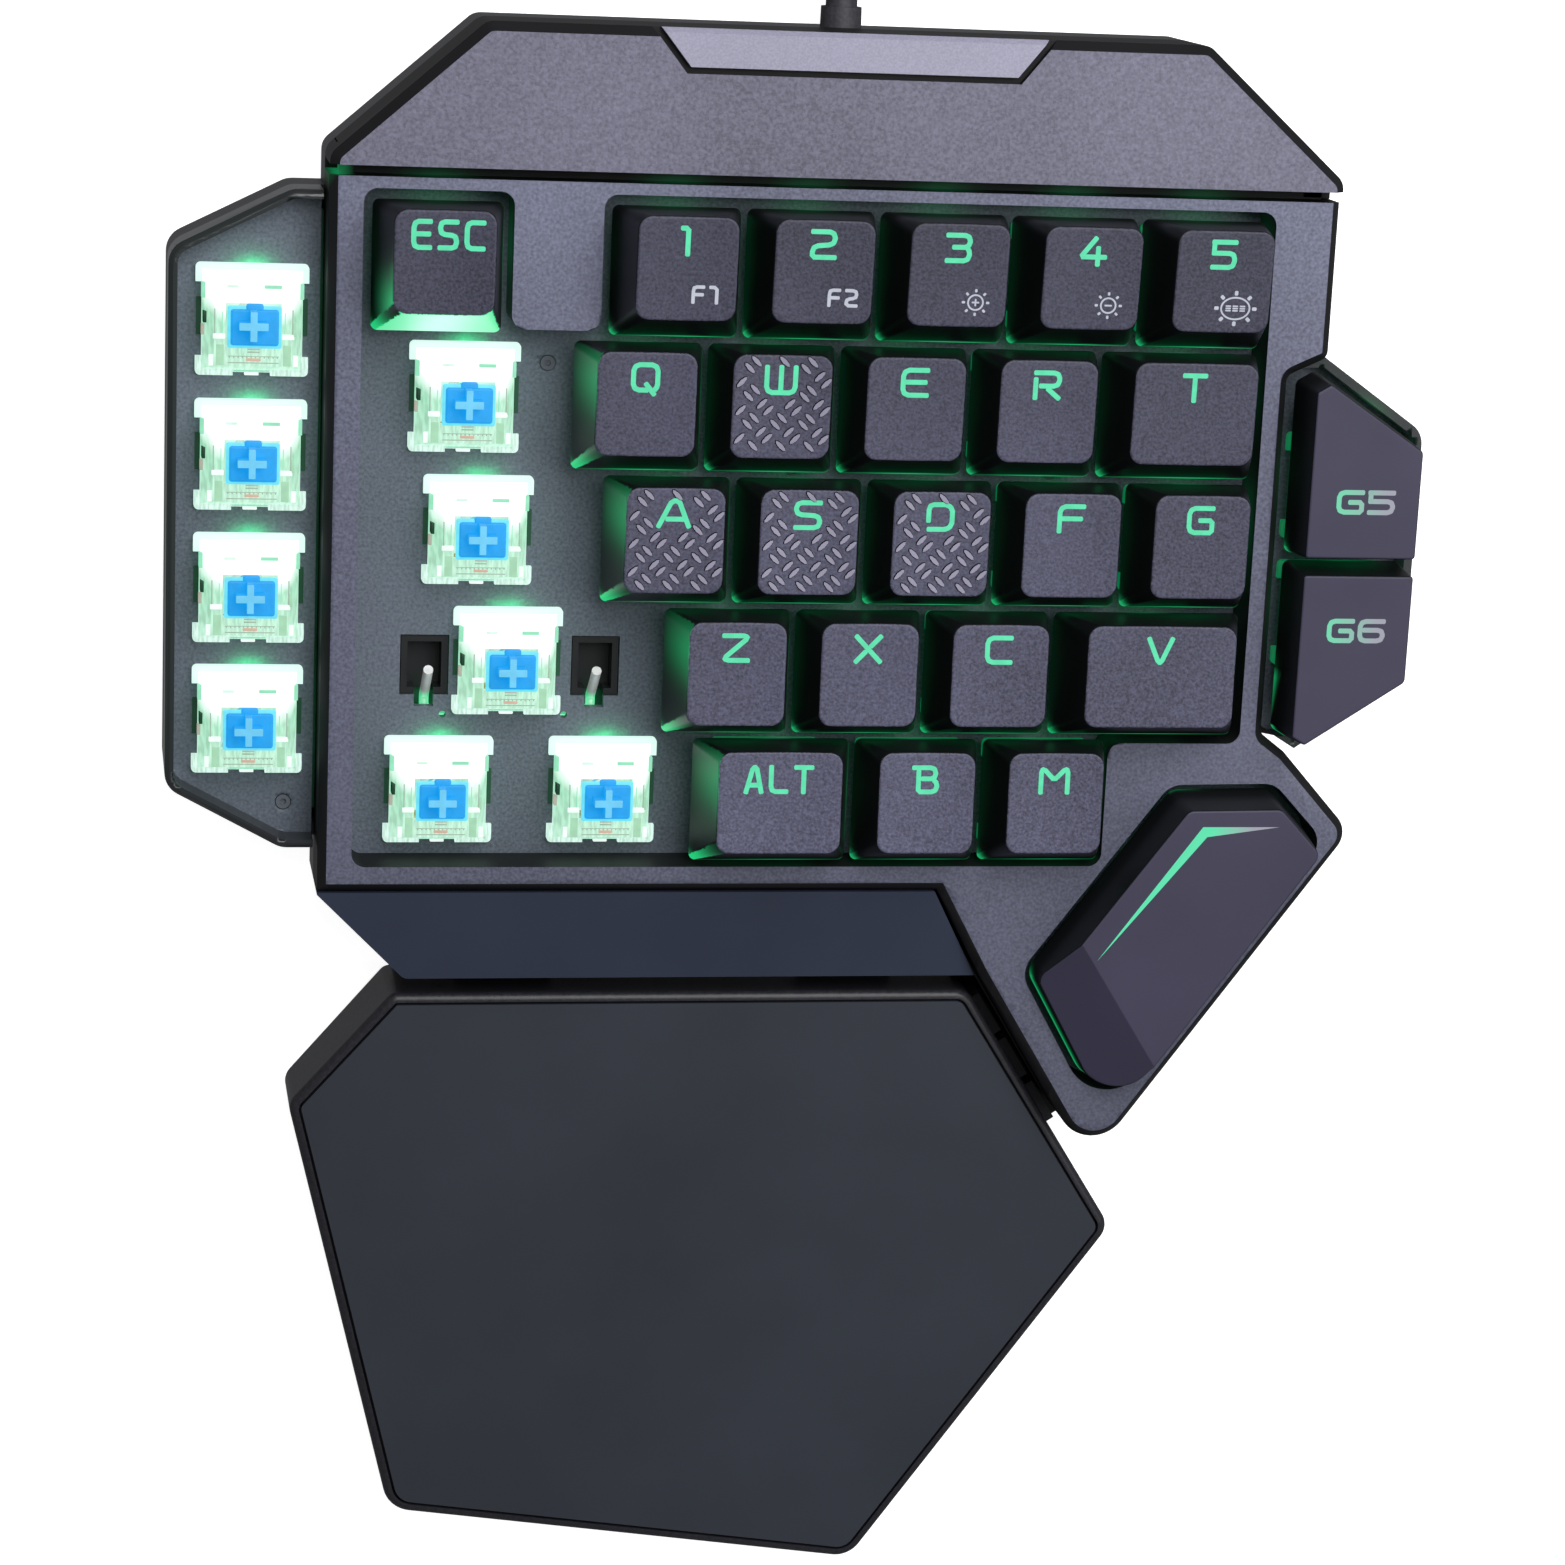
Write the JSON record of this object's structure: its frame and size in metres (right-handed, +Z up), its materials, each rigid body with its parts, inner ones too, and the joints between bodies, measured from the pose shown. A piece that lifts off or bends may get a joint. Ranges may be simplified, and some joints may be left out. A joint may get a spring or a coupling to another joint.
{
  "type": "mechanical keyboard",
  "caption": "One-handed mechanical keypad with raised keycaps, bare side switches, macro and thumb keys, a detachable palm rest and a USB cord.",
  "frame": {"origin": "on the desk, under the middle of the outline of the keypad and its palm rest, without the cord", "axes": "+Z up from the desk, +Y to the back where the cord leaves, +X to the user's right"},
  "size_m": [0.2298, 0.3344, 0.0321],
  "materials": {
    "case": "fine matte texture",
    "pod": "semi-gloss",
    "cover": "fine matte texture",
    "accent": "satin",
    "panel": "smooth satin",
    "pad": "smooth matte",
    "deck": "matte",
    "board": "solder mask",
    "keycap": "fine matte texture",
    "stem": "satin",
    "housing": "satin",
    "clear_housing": "clear",
    "steel": "bright",
    "contact": "bright",
    "light": "clear, lit",
    "screw": "black",
    "rubber": "matte",
    "cord": "matte",
    "plug": "satin"
  },
  "bodies": {
    "case": {"top_case": "case", "bottom_case": "case", "left_pod_shell": "pod", "right_pod_shell": "pod", "rear_cover": "cover", "accent_plate": "accent", "front_panel": "panel", "switch_deck": "deck", "circuit_board": "board", "switch_lower_housings": "housing", "switch_upper_housings": "clear_housing", "switch_springs": "steel", "switch_contacts": "contact", "switch_lights": "light", "stabiliser_housings": "housing", "stabiliser_wire": "steel", "case_screws": "screw", "rubber_feet": "rubber", "cord_gland": "cord", "cord_run": "cord", "cord_coil": "cord", "usb_plug": "plug"},
    "palm_rest": {"palm_rest_base": "case", "palm_rest_pad": "pad", "palm_rest_feet": "rubber"},
    "key_escape": {"key_escape": "keycap"},
    "key_1": {"key_1": "keycap"},
    "key_2": {"key_2": "keycap"},
    "key_3": {"key_3": "keycap"},
    "key_4": {"key_4": "keycap"},
    "key_5": {"key_5": "keycap"},
    "key_q": {"key_q": "keycap"},
    "key_w": {"key_w": "keycap"},
    "key_e": {"key_e": "keycap"},
    "key_r": {"key_r": "keycap"},
    "key_t": {"key_t": "keycap"},
    "key_a": {"key_a": "keycap"},
    "key_s": {"key_s": "keycap"},
    "key_d": {"key_d": "keycap"},
    "key_f": {"key_f": "keycap"},
    "key_g": {"key_g": "keycap"},
    "key_z": {"key_z": "keycap"},
    "key_x": {"key_x": "keycap"},
    "key_c": {"key_c": "keycap"},
    "key_v": {"key_v": "keycap"},
    "key_alt": {"key_alt": "keycap"},
    "key_b": {"key_b": "keycap"},
    "key_m": {"key_m": "keycap"},
    "macro_key_upper": {"macro_key_upper": "keycap"},
    "macro_key_lower": {"macro_key_lower": "keycap"},
    "thumb_key": {"thumb_key": "keycap"},
    "stem_tab": {"stem_tab": "stem"},
    "stem_caps": {"stem_caps": "stem"},
    "stem_shift": {"stem_shift": "stem"},
    "stem_control": {"stem_control": "stem"},
    "stem_start": {"stem_start": "stem"},
    "stem_macro_1": {"stem_macro_1": "stem"},
    "stem_macro_2": {"stem_macro_2": "stem"},
    "stem_macro_3": {"stem_macro_3": "stem"},
    "stem_macro_4": {"stem_macro_4": "stem"}
  },
  "joints": [
    {"name": "press_key_escape", "type": "slide", "parent": "case", "child": "key_escape", "axis": [0, 0, -1], "range_m": [0, 0.004], "stiffness_N_per_m": 75, "springref_m": -0.004},
    {"name": "press_key_1", "type": "slide", "parent": "case", "child": "key_1", "axis": [0, 0, -1], "range_m": [0, 0.004], "stiffness_N_per_m": 75, "springref_m": -0.004},
    {"name": "press_key_2", "type": "slide", "parent": "case", "child": "key_2", "axis": [0, 0, -1], "range_m": [0, 0.004], "stiffness_N_per_m": 75, "springref_m": -0.004},
    {"name": "press_key_3", "type": "slide", "parent": "case", "child": "key_3", "axis": [0, 0, -1], "range_m": [0, 0.004], "stiffness_N_per_m": 75, "springref_m": -0.004},
    {"name": "press_key_4", "type": "slide", "parent": "case", "child": "key_4", "axis": [0, 0, -1], "range_m": [0, 0.004], "stiffness_N_per_m": 75, "springref_m": -0.004},
    {"name": "press_key_5", "type": "slide", "parent": "case", "child": "key_5", "axis": [0, 0, -1], "range_m": [0, 0.004], "stiffness_N_per_m": 75, "springref_m": -0.004},
    {"name": "press_key_q", "type": "slide", "parent": "case", "child": "key_q", "axis": [0, 0, -1], "range_m": [0, 0.004], "stiffness_N_per_m": 75, "springref_m": -0.004},
    {"name": "press_key_w", "type": "slide", "parent": "case", "child": "key_w", "axis": [0, 0, -1], "range_m": [0, 0.004], "stiffness_N_per_m": 75, "springref_m": -0.004},
    {"name": "press_key_e", "type": "slide", "parent": "case", "child": "key_e", "axis": [0, 0, -1], "range_m": [0, 0.004], "stiffness_N_per_m": 75, "springref_m": -0.004},
    {"name": "press_key_r", "type": "slide", "parent": "case", "child": "key_r", "axis": [0, 0, -1], "range_m": [0, 0.004], "stiffness_N_per_m": 75, "springref_m": -0.004},
    {"name": "press_key_t", "type": "slide", "parent": "case", "child": "key_t", "axis": [0, 0, -1], "range_m": [0, 0.004], "stiffness_N_per_m": 75, "springref_m": -0.004},
    {"name": "press_key_a", "type": "slide", "parent": "case", "child": "key_a", "axis": [0, 0, -1], "range_m": [0, 0.004], "stiffness_N_per_m": 75, "springref_m": -0.004},
    {"name": "press_key_s", "type": "slide", "parent": "case", "child": "key_s", "axis": [0, 0, -1], "range_m": [0, 0.004], "stiffness_N_per_m": 75, "springref_m": -0.004},
    {"name": "press_key_d", "type": "slide", "parent": "case", "child": "key_d", "axis": [0, 0, -1], "range_m": [0, 0.004], "stiffness_N_per_m": 75, "springref_m": -0.004},
    {"name": "press_key_f", "type": "slide", "parent": "case", "child": "key_f", "axis": [0, 0, -1], "range_m": [0, 0.004], "stiffness_N_per_m": 75, "springref_m": -0.004},
    {"name": "press_key_g", "type": "slide", "parent": "case", "child": "key_g", "axis": [0, 0, -1], "range_m": [0, 0.004], "stiffness_N_per_m": 75, "springref_m": -0.004},
    {"name": "press_key_z", "type": "slide", "parent": "case", "child": "key_z", "axis": [0, 0, -1], "range_m": [0, 0.004], "stiffness_N_per_m": 75, "springref_m": -0.004},
    {"name": "press_key_x", "type": "slide", "parent": "case", "child": "key_x", "axis": [0, 0, -1], "range_m": [0, 0.004], "stiffness_N_per_m": 75, "springref_m": -0.004},
    {"name": "press_key_c", "type": "slide", "parent": "case", "child": "key_c", "axis": [0, 0, -1], "range_m": [0, 0.004], "stiffness_N_per_m": 75, "springref_m": -0.004},
    {"name": "press_key_v", "type": "slide", "parent": "case", "child": "key_v", "axis": [0, 0, -1], "range_m": [0, 0.004], "stiffness_N_per_m": 75, "springref_m": -0.004},
    {"name": "press_key_alt", "type": "slide", "parent": "case", "child": "key_alt", "axis": [0, 0, -1], "range_m": [0, 0.004], "stiffness_N_per_m": 75, "springref_m": -0.004},
    {"name": "press_key_b", "type": "slide", "parent": "case", "child": "key_b", "axis": [0, 0, -1], "range_m": [0, 0.004], "stiffness_N_per_m": 75, "springref_m": -0.004},
    {"name": "press_key_m", "type": "slide", "parent": "case", "child": "key_m", "axis": [0, 0, -1], "range_m": [0, 0.004], "stiffness_N_per_m": 75, "springref_m": -0.004},
    {"name": "press_macro_key_upper", "type": "slide", "parent": "case", "child": "macro_key_upper", "axis": [0, 0, -1], "range_m": [0, 0.004], "stiffness_N_per_m": 75, "springref_m": -0.004},
    {"name": "press_macro_key_lower", "type": "slide", "parent": "case", "child": "macro_key_lower", "axis": [0, 0, -1], "range_m": [0, 0.004], "stiffness_N_per_m": 75, "springref_m": -0.004},
    {"name": "press_thumb_key", "type": "slide", "parent": "case", "child": "thumb_key", "axis": [0, 0, -1], "range_m": [0, 0.004], "stiffness_N_per_m": 75, "springref_m": -0.004},
    {"name": "press_stem_tab", "type": "slide", "parent": "case", "child": "stem_tab", "axis": [0, 0, -1], "range_m": [0, 0.004], "stiffness_N_per_m": 75, "springref_m": -0.004},
    {"name": "press_stem_caps", "type": "slide", "parent": "case", "child": "stem_caps", "axis": [0, 0, -1], "range_m": [0, 0.004], "stiffness_N_per_m": 75, "springref_m": -0.004},
    {"name": "press_stem_shift", "type": "slide", "parent": "case", "child": "stem_shift", "axis": [0, 0, -1], "range_m": [0, 0.004], "stiffness_N_per_m": 75, "springref_m": -0.004},
    {"name": "press_stem_control", "type": "slide", "parent": "case", "child": "stem_control", "axis": [0, 0, -1], "range_m": [0, 0.004], "stiffness_N_per_m": 75, "springref_m": -0.004},
    {"name": "press_stem_start", "type": "slide", "parent": "case", "child": "stem_start", "axis": [0, 0, -1], "range_m": [0, 0.004], "stiffness_N_per_m": 75, "springref_m": -0.004},
    {"name": "press_stem_macro_1", "type": "slide", "parent": "case", "child": "stem_macro_1", "axis": [0, 0, -1], "range_m": [0, 0.004], "stiffness_N_per_m": 75, "springref_m": -0.004},
    {"name": "press_stem_macro_2", "type": "slide", "parent": "case", "child": "stem_macro_2", "axis": [0, 0, -1], "range_m": [0, 0.004], "stiffness_N_per_m": 75, "springref_m": -0.004},
    {"name": "press_stem_macro_3", "type": "slide", "parent": "case", "child": "stem_macro_3", "axis": [0, 0, -1], "range_m": [0, 0.004], "stiffness_N_per_m": 75, "springref_m": -0.004},
    {"name": "press_stem_macro_4", "type": "slide", "parent": "case", "child": "stem_macro_4", "axis": [0, 0, -1], "range_m": [0, 0.004], "stiffness_N_per_m": 75, "springref_m": -0.004},
    {"name": "palm_rest_pull", "type": "slide", "parent": "case", "child": "palm_rest", "axis": [0, -1, 0], "range_m": [0, 0.012]}
  ]
}
